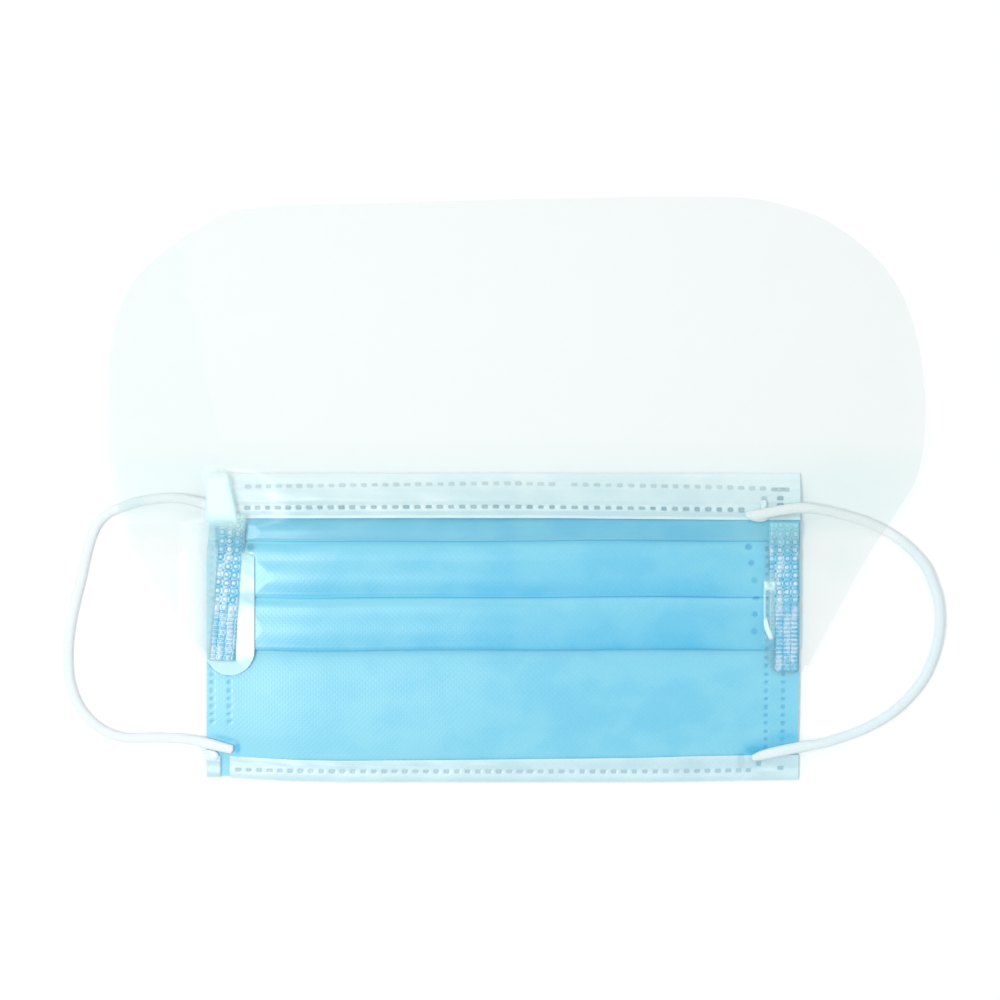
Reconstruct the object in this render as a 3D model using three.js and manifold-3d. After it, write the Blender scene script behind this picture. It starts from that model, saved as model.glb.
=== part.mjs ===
// A disposable pleated face mask with a clear film visor, lying flat with its front up.
// Millimetres. +X runs along the pleats, +Y towards the nose edge, +Z up from the surface.

import * as THREE from 'three';
import { mergeVertices } from 'three/addons/utils/BufferGeometryUtils.js';
import Module from 'manifold-3d';

const wasm = await Module();
wasm.setup();

// Driving dimensions

const gap = 0.3; // between two pieces that lie on each other

const mask = { left: -91.0, right: 84.2, top: 5.0, bottom: -86.6 };
const cloth = { wall: 1.0, foldGap: 0.15 };

// Pleats from the nose edge down: where the fold's edge lies, and how far the cloth turns back behind it.
const pleats = [
  { edge: -15.2, depth: 4.6 },
  { edge: -31.8, depth: 11.0 },
  { edge: -47.4, depth: 11.0 },
];

const topHem = { lowerEdge: -8.4, wall: 1.0 };
const bottomHem = { upperEdge: -79.6, wall: 1.0 };
const hemRise = 1.2; // the cloth climbs this much under the top hem, towards the first pleat

const wire = { left: -63.6, right: 72.4, upperEdge: -0.3, width: 2.7, thickness: 0.5 };

// Across the width: the cloth is welded flat down both sides and stands a little fuller in the middle.
const stations = [
  { x: mask.left, loft: 0.7 },
  { x: -74.0, loft: 0.7 },
  { x: -67.0, loft: 1.0 },
  { x: -30.0, loft: 1.06 },
  { x: 0.0, loft: 1.1 },
  { x: 28.0, loft: 1.06 },
  { x: 60.0, loft: 1.0 },
  { x: 67.2, loft: 0.7 },
  { x: mask.right, loft: 0.7 },
];

const film = { thickness: 0.5, margin: 3, columns: 30, rows: 34 };
const leg = { radius: 6.6, leftCentre: -84.0, rightCentre: 80.2, endY: -47.6, cornerRadius: 2.4 };
const notchEdge = -15.2; // the film's lower edge between its two legs

// The film's underside above the surface, from the ends of its legs to its top edge.
const filmDrape = [
  { y: -60.0, height: 2.65 },
  { y: -26.0, height: 2.65 },
  { y: -11.0, height: 5.2 },
  { y: 6.0, height: 5.2 },
  { y: 64.0, height: 0.1 },
  { y: 92.0, height: 0.1 },
];

const loop = { diameter: 2.8, sides: 8, stepLength: 3.2, pressed: 0.7, pressRamp: 5 };

const colours = {
  cloth: 0x86d6f1,
  hem: 0xe4f2f5,
  wire: 0xe9efee,
  film: 0xf4faf9,
  elastic: 0xf1f8f9,
};

// Helpers

const point = (x, y) => new THREE.Vector2(x, y);

// The value of a named column of a table at a place along another one, with straight runs between rows.
function tableValue(rows, along, column, place) {
  const next = Math.max(1, rows.findIndex((row) => row[along] >= place));
  const a = rows[next - 1];
  const b = rows[next];
  const t = (place - a[along]) / (b[along] - a[along]);
  return THREE.MathUtils.lerp(a[column], b[column], t);
}

// Points on an arc, from one angle to the other in degrees.
function arc(centre, radius, from, to, segments) {
  const points = [];
  for (let i = 0; i <= segments; i++) {
    const angle = THREE.MathUtils.degToRad(from + ((to - from) * i) / segments);
    points.push(point(centre.x + radius * Math.cos(angle), centre.y + radius * Math.sin(angle)));
  }
  return points;
}

// The closed outline of a sheet whose middle line is given, with mitred corners and square ends.
function thicken(path, wall) {
  const above = [];
  const below = [];
  for (let i = 0; i < path.length; i++) {
    const before = path[Math.max(i - 1, 0)];
    const after = path[Math.min(i + 1, path.length - 1)];
    const intoPoint = path[i].clone().sub(before);
    const outOfPoint = after.clone().sub(path[i]);
    const arriving = (i === 0 ? outOfPoint : intoPoint).normalize();
    const leaving = (i === path.length - 1 ? intoPoint : outOfPoint).normalize();
    const normal = point(-arriving.y - leaving.y, arriving.x + leaving.x).normalize();
    const half = wall / 2 / normal.dot(point(-leaving.y, leaving.x));
    above.push(path[i].clone().addScaledVector(normal, half));
    below.push(path[i].clone().addScaledVector(normal, -half));
  }
  return new THREE.Shape([...above, ...below.reverse()]);
}

// A section in the Y-Z plane drawn across the mask from one side to the other, with each height
// multiplied by the loft of the cloth there.
function acrossMask(section, left, right) {
  const between = stations.map((row) => row.x).filter((x) => x > left + 1 && x < right - 1);
  const places = [left, ...between, right];
  const steps = places.length - 1;
  const geometry = new THREE.ExtrudeGeometry(section, { depth: steps, steps, bevelEnabled: false });
  const position = geometry.attributes.position;
  for (let i = 0; i < position.count; i++) {
    const x = places[Math.round(position.getZ(i))];
    const y = position.getX(i);
    const height = position.getY(i) * tableValue(stations, 'x', 'loft', x);
    position.setXYZ(i, x, y, height);
  }
  geometry.computeVertexNormals();
  return geometry;
}

function toSolid(geometry) {
  const bare = geometry.clone();
  bare.deleteAttribute('normal');
  bare.deleteAttribute('uv');
  const merged = mergeVertices(bare, 1e-4);
  return new wasm.Manifold(new wasm.Mesh({
    numProp: 3,
    vertProperties: new Float32Array(merged.attributes.position.array),
    triVerts: new Uint32Array(merged.index.array),
  }));
}

function toGeometry(solid) {
  const mesh = solid.getMesh();
  const geometry = new THREE.BufferGeometry();
  geometry.setAttribute('position', new THREE.BufferAttribute(new Float32Array(mesh.vertProperties), 3));
  geometry.setIndex(new THREE.BufferAttribute(new Uint32Array(mesh.triVerts), 1));
  geometry.computeVertexNormals();
  return geometry;
}

// The pleated cloth

const foldRadius = (cloth.wall + cloth.foldGap) / 2;
const level = {
  low: cloth.wall / 2,
  middle: cloth.wall / 2 + 2 * foldRadius,
  high: cloth.wall / 2 + 4 * foldRadius,
};
const foldReach = foldRadius + cloth.wall / 2; // from a fold's centre to its outer edge
const clothTop = mask.top - topHem.wall - gap;
const clothBottom = mask.bottom + bottomHem.wall + gap;

// The height of the cloth's middle line under the top hem.
function underHem(y) {
  return level.low + (hemRise * (clothTop - y)) / (clothTop - topHem.lowerEdge);
}

// One pleat: out at the top level to the fold's edge, back behind itself, and down again underneath.
function pleatPath({ edge, depth }) {
  const front = { x: edge + foldReach, y: (level.high + level.middle) / 2 };
  const back = { x: edge + depth - foldReach, y: (level.middle + level.low) / 2 };
  return [
    point(edge + depth + gap, level.high),
    ...arc(front, foldRadius, 90, 270, 4),
    ...arc(back, foldRadius, 90, -90, 4),
    point(edge - gap, level.low),
  ];
}

function maskBody() {
  const path = [
    point(clothTop, level.low),
    point(topHem.lowerEdge, underHem(topHem.lowerEdge)),
    ...pleats.flatMap(pleatPath),
    point(clothBottom, level.low),
  ];
  return acrossMask(thicken(path, cloth.wall), mask.left, mask.right);
}

// The hems: each lies on the cloth and turns down over its edge to the surface

function topBinding() {
  const over = cloth.wall / 2 + gap + topHem.wall / 2;
  const overWire = over + wire.thickness + gap;
  const turn = mask.top - topHem.wall / 2;
  const wireLower = wire.upperEdge - wire.width;
  const path = [
    point(topHem.lowerEdge, underHem(topHem.lowerEdge) + over),
    point(wireLower - 1.4, underHem(wireLower - 1.4) + over),
    point(wireLower - 0.4, underHem(wireLower) + overWire),
    point(wire.upperEdge + 0.4, underHem(wire.upperEdge) + overWire),
    point(wire.upperEdge + 1.8, underHem(wire.upperEdge + 1.8) + over),
    point(turn - 0.6, level.low + over),
    point(turn, level.low + over - 0.6),
    point(turn, 0),
  ];
  return acrossMask(thicken(path, topHem.wall), mask.left, mask.right);
}

function bottomBinding() {
  const over = cloth.wall / 2 + gap + bottomHem.wall / 2;
  const turn = mask.bottom + bottomHem.wall / 2;
  const path = [
    point(bottomHem.upperEdge, level.low + over),
    point(turn + 0.6, level.low + over),
    point(turn, level.low + over - 0.6),
    point(turn, 0),
  ];
  return acrossMask(thicken(path, bottomHem.wall), mask.left, mask.right);
}

// The nose wire lies on the sloping cloth inside the top hem.
function noseWire() {
  const lift = cloth.wall / 2 + gap + wire.thickness / 2;
  const path = [
    point(wire.upperEdge, underHem(wire.upperEdge) + lift),
    point(wire.upperEdge - wire.width, underHem(wire.upperEdge - wire.width) + lift),
  ];
  return acrossMask(thicken(path, wire.thickness), wire.left, wire.right);
}

// The visor film

// The outline from the notch round the left leg, the left wing, the top, the right wing and the right leg.
function filmOutline() {
  const leftWing = [
    point(-104.9, -31.2),
    point(-113.8, -14.9),
    point(-118.6, 2.8),
    point(-120.9, 22.0),
    point(-119.1, 45.7),
    point(-113.8, 59.9),
    point(-104.9, 69.4),
    point(-91.6, 78.4),
    point(-78.3, 83.2),
  ];
  const topEdge = [point(-34.0, 84.9), point(10.3, 86.1), point(46.0, 86.6), point(68.0, 86.2)];
  const rightWing = [
    point(81.3, 83.6),
    point(93.1, 78.9),
    point(104.9, 70.2),
    point(113.4, 59.6),
    point(118.8, 44.2),
    point(120.9, 24.0),
    point(118.6, 5.0),
    point(112.0, -7.0),
    point(104.9, -17.9),
    point(96.6, -33.0),
  ];
  const { radius, leftCentre, rightCentre, endY, cornerRadius } = leg;
  const leftInner = leftCentre + radius;
  const rightInner = rightCentre - radius;
  const tangent = THREE.MathUtils.degToRad(215);
  const shape = new THREE.Shape();
  shape.moveTo(leftInner + cornerRadius, notchEdge);
  shape.absarc(leftInner + cornerRadius, notchEdge - cornerRadius, cornerRadius, Math.PI / 2, Math.PI, false);
  shape.lineTo(leftInner, endY);
  shape.absarc(leftCentre, endY, radius, 0, tangent - 2 * Math.PI, true);
  shape.splineThru(leftWing);
  shape.splineThru(topEdge);
  shape.splineThru(rightWing);
  shape.absarc(rightCentre, endY, radius, Math.PI - tangent, -Math.PI, true);
  shape.lineTo(rightInner, notchEdge - cornerRadius);
  shape.absarc(rightInner - cornerRadius, notchEdge - cornerRadius, cornerRadius, 0, Math.PI / 2, false);
  shape.closePath();
  return shape;
}

function drapeHeight(y) {
  const next = filmDrape.findIndex((row) => row.y >= y);
  const a = filmDrape[next - 1];
  const b = filmDrape[next];
  return THREE.MathUtils.lerp(a.height, b.height, THREE.MathUtils.smoothstep(y, a.y, b.y));
}

// A thin sheet bent along the drape, cut to the outline.
function visorFilm() {
  const outline = new THREE.ExtrudeGeometry(filmOutline(), { depth: 20, bevelEnabled: false, curveSegments: 5 });
  outline.translate(0, 0, -5);
  outline.computeBoundingBox();
  const { min, max } = outline.boundingBox;
  const width = max.x - min.x + 2 * film.margin;
  const length = max.y - min.y + 2 * film.margin;
  const sheet = new THREE.BoxGeometry(width, length, film.thickness, film.columns, film.rows, 1);
  sheet.translate((min.x + max.x) / 2, (min.y + max.y) / 2, film.thickness / 2);
  const position = sheet.attributes.position;
  for (let i = 0; i < position.count; i++) {
    position.setZ(i, position.getZ(i) + drapeHeight(position.getY(i)));
  }
  return toGeometry(toSolid(sheet).intersect(toSolid(outline)));
}

// The ear loops

// Each route runs from the loop's lower weld round to its upper one; the heights are of the cord's middle.
const leftRoute = [
  [-83.4, -76.4, 2.0],
  [-87.6, -74.8, 2.2],
  [-92.0, -73.5, 2.2],
  [-98.0, -73.1, 1.7],
  [-105.8, -73.2, 1.45],
  [-114.8, -73.3, 1.45],
  [-120.6, -71.6, 1.45],
  [-125.4, -68.2, 1.45],
  [-129.2, -63.2, 1.45],
  [-131.5, -56.6, 1.45],
  [-132.1, -49.2, 1.45],
  [-131.5, -41.4, 1.45],
  [-130.0, -33.6, 1.45],
  [-128.1, -26.0, 1.45],
  [-126.3, -17.8, 1.45],
  [-123.9, -11.0, 1.45],
  [-120.5, -7.2, 1.45],
  [-116.0, -5.2, 1.5],
  [-111.0, -3.6, 1.7],
  [-105.0, -2.7, 2.2],
  [-98.6, -2.7, 3.0],
  [-92.6, -4.0, 3.6],
  [-87.6, -5.8, 3.7],
  [-83.4, -7.8, 3.7],
];
const rightRoute = [
  [70.1, -81.1, 3.0],
  [73.6, -79.6, 3.0],
  [78.2, -77.9, 2.6],
  [84.4, -76.2, 2.2],
  [91.0, -74.8, 1.7],
  [96.8, -73.0, 1.45],
  [102.7, -70.8, 1.45],
  [108.0, -68.0, 1.45],
  [112.8, -65.0, 1.45],
  [117.2, -60.8, 1.45],
  [120.9, -56.0, 1.45],
  [123.6, -50.6, 1.45],
  [125.4, -44.8, 1.45],
  [126.2, -38.8, 1.45],
  [125.6, -32.6, 1.45],
  [123.8, -27.2, 1.45],
  [121.3, -22.8, 1.45],
  [117.6, -18.4, 1.45],
  [113.3, -14.7, 1.45],
  [108.6, -11.8, 1.5],
  [103.2, -9.4, 1.7],
  [96.8, -7.6, 2.3],
  [90.8, -6.2, 3.1],
  [84.8, -5.4, 3.6],
  [79.0, -5.6, 3.7],
  [73.8, -6.4, 3.7],
  [69.2, -7.6, 3.7],
];

// A round cord along its route, pressed lower and wider where it lies on the mask.
function earLoop(route) {
  const curve = new THREE.CatmullRomCurve3(route.map(([x, y, z]) => new THREE.Vector3(x, y, z)));
  const steps = Math.round(curve.getLength() / loop.stepLength);
  const circle = new THREE.Shape();
  circle.setFromPoints(arc({ x: 0, y: 0 }, loop.diameter / 2, 0, 360 - 360 / loop.sides, loop.sides - 1));
  const geometry = new THREE.ExtrudeGeometry(circle, { steps, extrudePath: curve });
  const middles = curve.getSpacedPoints(steps);
  const position = geometry.attributes.position;
  const vertex = new THREE.Vector3();
  for (let i = 0; i < position.count; i++) {
    vertex.fromBufferAttribute(position, i);
    const distances = middles.map((middle) => middle.distanceTo(vertex));
    const middle = middles[distances.indexOf(Math.min(...distances))];
    const outside = Math.max(mask.left - middle.x, middle.x - mask.right);
    const pressing = 1 - THREE.MathUtils.smoothstep(outside, 0, loop.pressRamp);
    const height = THREE.MathUtils.lerp(1, loop.pressed, pressing);
    position.setZ(i, middle.z + (vertex.z - middle.z) * height);
  }
  geometry.computeVertexNormals();
  return geometry;
}

// The assembly

function material(color, roughness, extra = {}) {
  return new THREE.MeshStandardMaterial({ color, roughness, metalness: 0, ...extra });
}

function piece(name, geometry, finish) {
  const mesh = new THREE.Mesh(geometry, finish);
  mesh.name = name;
  return mesh;
}

const clear = { transparent: true, opacity: 0.25 };
const faceMask = new THREE.Group();
faceMask.add(
  piece('mask_body', maskBody(), material(colours.cloth, 0.9)),
  piece('top_binding', topBinding(), material(colours.hem, 0.9)),
  piece('bottom_binding', bottomBinding(), material(colours.hem, 0.9)),
  piece('nose_wire', noseWire(), material(colours.wire, 0.5)),
  piece('visor_film', visorFilm(), material(colours.film, 0.1, clear)),
  piece('ear_loop_left', earLoop(leftRoute), material(colours.elastic, 0.85)),
  piece('ear_loop_right', earLoop(rightRoute), material(colours.elastic, 0.85)),
);

export default faceMask;
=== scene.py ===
# %% [markdown]
# # A pleated face mask with a clear visor, lying flat
# This lesson dresses a imported model of a disposable face mask. The model is the frame: it says
# where each piece is and how large. Blender gives the cloth its folds and its embossing, the hems
# their weld marks, the film its gloss, and the loops their knitted surface.
# The first cell loads that frame.

# %% Load the frame
import math

import bpy
import numpy as np
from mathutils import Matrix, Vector


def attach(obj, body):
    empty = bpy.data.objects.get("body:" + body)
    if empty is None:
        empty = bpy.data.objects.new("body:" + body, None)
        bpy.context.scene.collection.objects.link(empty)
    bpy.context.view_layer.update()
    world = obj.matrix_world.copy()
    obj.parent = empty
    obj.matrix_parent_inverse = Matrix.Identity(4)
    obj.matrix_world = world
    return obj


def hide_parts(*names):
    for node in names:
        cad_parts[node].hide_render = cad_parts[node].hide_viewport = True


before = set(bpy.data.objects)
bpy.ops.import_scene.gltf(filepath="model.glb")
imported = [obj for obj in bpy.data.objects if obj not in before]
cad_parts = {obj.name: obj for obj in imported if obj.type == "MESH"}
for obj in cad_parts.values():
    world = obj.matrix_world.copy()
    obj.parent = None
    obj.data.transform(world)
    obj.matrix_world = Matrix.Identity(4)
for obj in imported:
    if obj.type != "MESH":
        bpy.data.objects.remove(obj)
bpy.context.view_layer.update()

MM = 0.001
print("frame loaded:", sorted(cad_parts))

# %% [markdown]
# ## The camera
# The mask is seen from straight above. A long lens at one metre keeps its edges straight, as in
# the photograph. The picture is square, so its width on the surface gives the focal length.
# Its middle lies a little to the left of the part's own middle.

# %% Place the camera
PICTURE_WIDTH = 295.6 * MM
PICTURE_CENTRE = Vector((-4.4, -3.1, 0.0)) * MM
CAMERA_HEIGHT = 1.0

camera_data = bpy.data.cameras.new("camera_above")
camera_data.sensor_width = 36.0
camera_data.lens = camera_data.sensor_width * CAMERA_HEIGHT / PICTURE_WIDTH
camera = bpy.data.objects.new("camera_above", camera_data)
camera.location = PICTURE_CENTRE + Vector((0, 0, CAMERA_HEIGHT))
bpy.context.collection.objects.link(camera)
bpy.context.scene.camera = camera
print("camera lens in mm:", round(camera_data.lens, 1))

# %% [markdown]
# ## Measures that several pieces share
# The mask's own rectangle, its pleats and its two hems are given in millimetres. Two small curves
# that ease between 0 and 1 are used all through the lesson.

# %% Shared measures
MASK_LEFT, MASK_RIGHT, MASK_TOP, MASK_BOTTOM = -91.0, 84.2, 5.0, -86.6
TOP_HEM_EDGE = -8.5
BOTTOM_HEM_EDGE = -79.2
PLEATS = [  # each fold's edge, how far the cloth turns back, its crest's bulge, the light under it
    {"edge": -15.2, "depth": 4.6, "crest": 0.15, "painted_glow": 1.0},
    {"edge": -31.8, "depth": 11.0, "crest": 0.5, "painted_glow": 1.0},
    {"edge": -47.4, "depth": 11.0, "crest": 0.35, "painted_glow": 0.35},
]


def smoothstep(t):
    """Eases from 0 to 1 while t goes from 0 to 1."""
    t = np.clip(t, 0.0, 1.0)
    return t * t * (3.0 - 2.0 * t)


def window(value, low, high, soft):
    """1 between low and high, fading to 0 over the soft width outside them."""
    return smoothstep((value - low) / soft + 1) * smoothstep((high - value) / soft + 1)


print("mask size in mm:", MASK_RIGHT - MASK_LEFT, "x", MASK_TOP - MASK_BOTTOM)

# %% [markdown]
# The cloth is welded flat down both sides, so every height is multiplied by a loft that is lower there.
# Its colour is painted paler on the side of the main light, as painted light, and it isn't quite square.
# The panel and both hems read the same functions for this, so that nothing comes apart.

# %% How the cloth lies
LEFT_RISE, RIGHT_RISE = (-82.0, 26.0), (76.0, 22.0)  # where the weld ends, and how wide the rise is
WELDED_LOFT, FREE_LOFT, CROWN_LOFT = 0.7, 0.32, 0.08
CROWN_WIDTH = 34.0


def middle_part(x):
    """0 at the welded sides, 1 between them."""
    from_left = (x - LEFT_RISE[0]) / LEFT_RISE[1]
    from_right = (RIGHT_RISE[0] - x) / RIGHT_RISE[1]
    return smoothstep(from_left) * smoothstep(from_right)


def loft(x):
    """How high the layers stand: least at the welded sides, most in the middle."""
    crown = np.exp(-((x / CROWN_WIDTH) ** 2))
    return WELDED_LOFT + FREE_LOFT * middle_part(x) + CROWN_LOFT * crown


def painted_light_falloff(x):
    """Painted shade: how much deeper the cloth's colour is painted, because the left side gets more light
    than the right.
    """
    places = [-91, -76, -68, -45, -20, 20, 50, 60, 68, 84]
    return np.interp(x, places, [-0.2, -0.12, -0.02, -0.06, 0.08, 0.2, 0.24, 0.12, 0.02, 0.04])


def settle(x, y):
    """The cloth isn't quite square: its lower edge bows, and its two sides lean a little."""
    places = [-91, -84, -75, -66, -50, 40, 66, 84]
    bow = np.interp(x, places, [1.5, 1.4, 0.8, 0.3, 0.0, 0.0, 0.4, 0.6])
    left = 0.9 * smoothstep((-60 - x) / 25) * smoothstep((y + 22) / 14)
    right = 0.55 * smoothstep((x - 60) / 20) * smoothstep((-25 - y) / 50)
    return x + left - right, y + bow * smoothstep((-58 - y) / 24)


print("loft at the left weld and in the middle:", [round(float(loft(x)), 2) for x in (MASK_LEFT, 0.0)])

# %% [markdown]
# ## Ear loops
# Each loop is a soft round elastic, knitted over rubber threads. One could bevel a curve, but the
# ends are pressed flat where they are welded to the cloth, and a bevel can't do that. So a grid is
# rolled into a tube round the route, with its own width and height at each step, and the seam is
# merged. The route starts at the lower weld, lies on the surface, and climbs onto the upper corner.

# %% The routes of the two loops
LEFT_ROUTE = [
    (-83.1, -76.8, 2.0), (-87.5, -75.7, 2.2), (-91.6, -74.7, 2.2), (-97.6, -73.6, 1.7),
    (-105.8, -73.2, 1.45), (-114.8, -73.3, 1.45), (-120.6, -71.6, 1.45), (-125.4, -68.2, 1.45),
    (-129.2, -63.2, 1.45), (-131.5, -56.6, 1.45), (-132.1, -49.2, 1.45), (-131.5, -41.4, 1.45),
    (-130.0, -33.6, 1.45), (-128.1, -26.0, 1.45), (-126.3, -17.8, 1.45), (-123.9, -11.0, 1.45),
    (-120.5, -7.2, 1.45), (-116.0, -5.2, 1.5), (-111.0, -3.6, 1.7), (-105.0, -2.7, 2.2),
    (-98.6, -2.7, 3.0), (-92.6, -4.0, 3.6), (-87.6, -5.8, 3.7), (-83.4, -7.8, 3.7),
]
RIGHT_ROUTE = [
    (69.8, -79.3, 2.6), (73.4, -78.2, 2.7), (78.2, -77.1, 2.6), (84.4, -75.9, 2.2),
    (91.0, -74.8, 1.7), (96.8, -73.0, 1.45), (102.7, -70.8, 1.45), (108.0, -68.0, 1.45),
    (112.6, -64.8, 1.45), (116.8, -60.7, 1.45), (120.4, -56.0, 1.45), (123.0, -50.6, 1.45),
    (124.7, -44.8, 1.45), (125.4, -38.8, 1.45), (124.9, -32.6, 1.45), (123.2, -27.2, 1.45),
    (121.3, -22.8, 1.45), (117.6, -18.4, 1.45), (113.3, -14.7, 1.45), (108.6, -11.8, 1.5),
    (103.2, -9.4, 1.7), (96.8, -7.6, 2.3), (90.8, -6.2, 3.1), (84.8, -5.5, 3.6),
    (79.0, -6.1, 3.7), (73.8, -7.1, 3.7), (69.2, -7.9, 3.7),
]
LOOP_DIAMETER = 2.8
print("route points:", len(LEFT_ROUTE), len(RIGHT_ROUTE))

# %% [markdown]
# A helper draws one smooth curve through given points, and another one adds a grid and gives every vertex
# its place from two lists. Both are used for the cloth too.

# %% Helpers for curves and grids
def smooth_route(points, step):
    """A Catmull-Rom curve through the points, cut to equal steps."""
    p = np.array(points, dtype=float)
    p = np.vstack([2 * p[0] - p[1], p, 2 * p[-1] - p[-2]])
    t = np.linspace(0, 1, 24, endpoint=False)[:, None]
    runs = []
    for a, b, c, d in zip(p[:-3], p[1:-2], p[2:-1], p[3:]):
        runs.append(0.5 * (2 * b + (c - a) * t + (2 * a - 5 * b + 4 * c - d) * t**2
                           + (3 * b - a - 3 * c + d) * t**3))
    dense = np.vstack(runs + [p[-2:-1]])
    along = np.concatenate([[0], np.cumsum(np.linalg.norm(np.diff(dense, axis=0), axis=1))])
    places = np.linspace(0, along[-1], max(2, round(along[-1] / step) + 1))
    return np.stack([np.interp(places, along, dense[:, k]) for k in range(dense.shape[1])], axis=1)


def add_grid(name, across, along):
    """Adds a grid with that many vertices each way; rows are counted from its far edge."""
    bpy.ops.object.select_all(action="DESELECT")
    bpy.ops.mesh.primitive_grid_add(x_subdivisions=across - 1, y_subdivisions=along - 1, size=2.0)
    grid = bpy.context.object
    grid.name = grid.data.name = name
    places = np.empty(len(grid.data.vertices) * 3)
    grid.data.vertices.foreach_get("co", places)
    places = places.reshape(-1, 3)
    column = np.rint((places[:, 0] + 1) / 2 * (across - 1)).astype(int)
    row = np.rint((1 - places[:, 1]) / 2 * (along - 1)).astype(int)
    return grid, column, row


def set_places(obj, places):
    """Moves every vertex to its place, given in millimetres."""
    obj.data.vertices.foreach_set("co", (places * MM).ravel())
    obj.data.update()


def set_uv(obj, u, v):
    """Gives every vertex its own place on the flat cloth, in millimetres, as the UV map."""
    mesh = obj.data
    loops = np.empty(len(mesh.loops), dtype=int)
    mesh.loops.foreach_get("vertex_index", loops)
    layer = mesh.uv_layers[0] if mesh.uv_layers else mesh.uv_layers.new(name="UVMap")
    layer.data.foreach_set("uv", np.stack([u[loops], v[loops]], axis=1).ravel())


def set_shade(obj, name, values):
    """Stores one number for each vertex, which a material reads by its name."""
    attribute = obj.data.attributes.new(name, "FLOAT", "POINT")
    attribute.data.foreach_set("value", values)


print("helpers ready")

# %% [markdown]
# The tube's cross-section is a circle that grows flatter and wider over the mask, and each tip is pressed
# in its own way. Each vertex also gets a number of painted light, which whitens the elastic: most under
# the clear film, where the film's shade falls on it, and more on the left, beside the main light.

# %% Width, height and painted light along a loop
LOOP_STEP = 0.5
REST_FLATTER, REST_WIDER = 0.3, 0.1  # how much a loop is pressed where it rests on the mask
LEFT_PAINTED_LIGHT = 0.45


def side_and_up(middle):
    """Which way is aside and which way is up, at each step of the route."""
    ahead = np.gradient(middle, axis=0)
    ahead /= np.linalg.norm(ahead, axis=1)[:, None]
    side = np.cross(ahead, [0, 0, 1])
    side /= np.linalg.norm(side, axis=1)[:, None]
    return side, np.cross(side, ahead)


def width_and_height(middle, along, tips):
    """How wide and how high the tube is at each step, as shares of a round one."""
    outside = np.maximum(MASK_LEFT - middle[:, 0], middle[:, 0] - MASK_RIGHT)
    resting = 1 - smoothstep(outside / 5.0)
    width = 1 + REST_WIDER * resting
    height = 1 - REST_FLATTER * resting
    for from_end, tip in zip((along, along[-1] - along), tips):
        near = 1 - smoothstep(from_end / tip["length"])
        width *= 1 + (tip["width"] - 1) * near
        height *= 1 - (1 - tip["height"]) * near
        closing = np.sqrt(np.clip(1 - (1 - np.clip(from_end / tip["round"], 0, 1)) ** 2, 0, 1))
        width *= 0.45 + 0.55 * closing
        height *= 0.25 + 0.75 * closing
    return width, height


def painted_loop_light(middle):
    """Painted light: 1 where the clear film covers the loop, and the left loop is painted whiter all
    along.
    """
    x, y = middle[:, 0], middle[:, 1]
    under_film = smoothstep((y + 26) / 12) * smoothstep((117 - np.abs(x)) / 12)
    return np.maximum(under_film, LEFT_PAINTED_LIGHT * (x < 0))


print("loop helpers ready")

# %% [markdown]
# A row of low ribs runs round the tube, as on a knitted cord. The seam is merged and both ends are
# filled in edit mode, so that each loop is closed.

# %% Roll a loop
LOOP_SIDES = 25
RIB_COUNT = 8
RIB_DEPTH = 0.03


def close_tube():
    bpy.ops.object.mode_set(mode="EDIT")
    bpy.ops.mesh.select_all(action="SELECT")
    bpy.ops.mesh.remove_doubles(threshold=1e-6)
    bpy.ops.mesh.select_all(action="DESELECT")
    bpy.ops.mesh.select_non_manifold()
    bpy.ops.mesh.fill_holes(sides=0)
    bpy.ops.mesh.select_all(action="SELECT")
    bpy.ops.mesh.normals_make_consistent(inside=False)
    bpy.ops.object.mode_set(mode="OBJECT")
    bpy.ops.object.shade_smooth()


def roll_loop(name, route, tips):
    middle = smooth_route(route, LOOP_STEP)
    along = np.arange(len(middle)) * LOOP_STEP
    side, up = side_and_up(middle)
    width, height = width_and_height(middle, along, tips)
    tube, column, row = add_grid(name, LOOP_SIDES, len(middle))
    angle = 2 * math.pi * column / (LOOP_SIDES - 1)
    radius = LOOP_DIAMETER / 2 * (1 + RIB_DEPTH * np.cos(RIB_COUNT * angle))
    sideways = (np.cos(angle) * radius * width[row])[:, None] * side[row]
    upwards = (np.sin(angle) * radius * height[row])[:, None] * up[row]
    set_places(tube, middle[row] + sideways + upwards)
    set_uv(tube, column / (LOOP_SIDES - 1) * math.pi * LOOP_DIAMETER, along[row])
    set_shade(tube, "painted_loop_light", painted_loop_light(middle)[row])
    close_tube()
    print(name, "length in mm:", round(float(along[-1]), 1))
    return tube, middle


SQUARE_TIP = {"length": 8.0, "height": 0.6, "width": 0.84, "round": 0.12}
ROUND_TIP = {"length": 3.0, "height": 0.8, "width": 0.95, "round": 1.6}
TAPERED_TIP = {"length": 11.0, "height": 0.45, "width": 0.9, "round": 6.0}
loops = {
    "ear_loop_left": roll_loop("elastic_left", LEFT_ROUTE, (SQUARE_TIP, ROUND_TIP)),
    "ear_loop_right": roll_loop("elastic_right", RIGHT_ROUTE, (TAPERED_TIP, ROUND_TIP)),
}

# %% [markdown]
# Each loop is attached to the root, and the plain model's loop is hidden. It starts at the lower weld and
# goes back into the mask at the upper one.

for node, (tube, middle) in loops.items():
    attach(tube, "root")
    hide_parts(node)

# %% [markdown]
# The weld that holds a loop squeezes out a little melted elastic. Each lump is a sphere, roughened,
# smoothed, pressed flat and moved to its place in edit mode.

# %% Melted lumps at the welds
SMOOTHING_LOSS = 1.1  # smoothing draws the sphere in, so it is grown by this much


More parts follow.
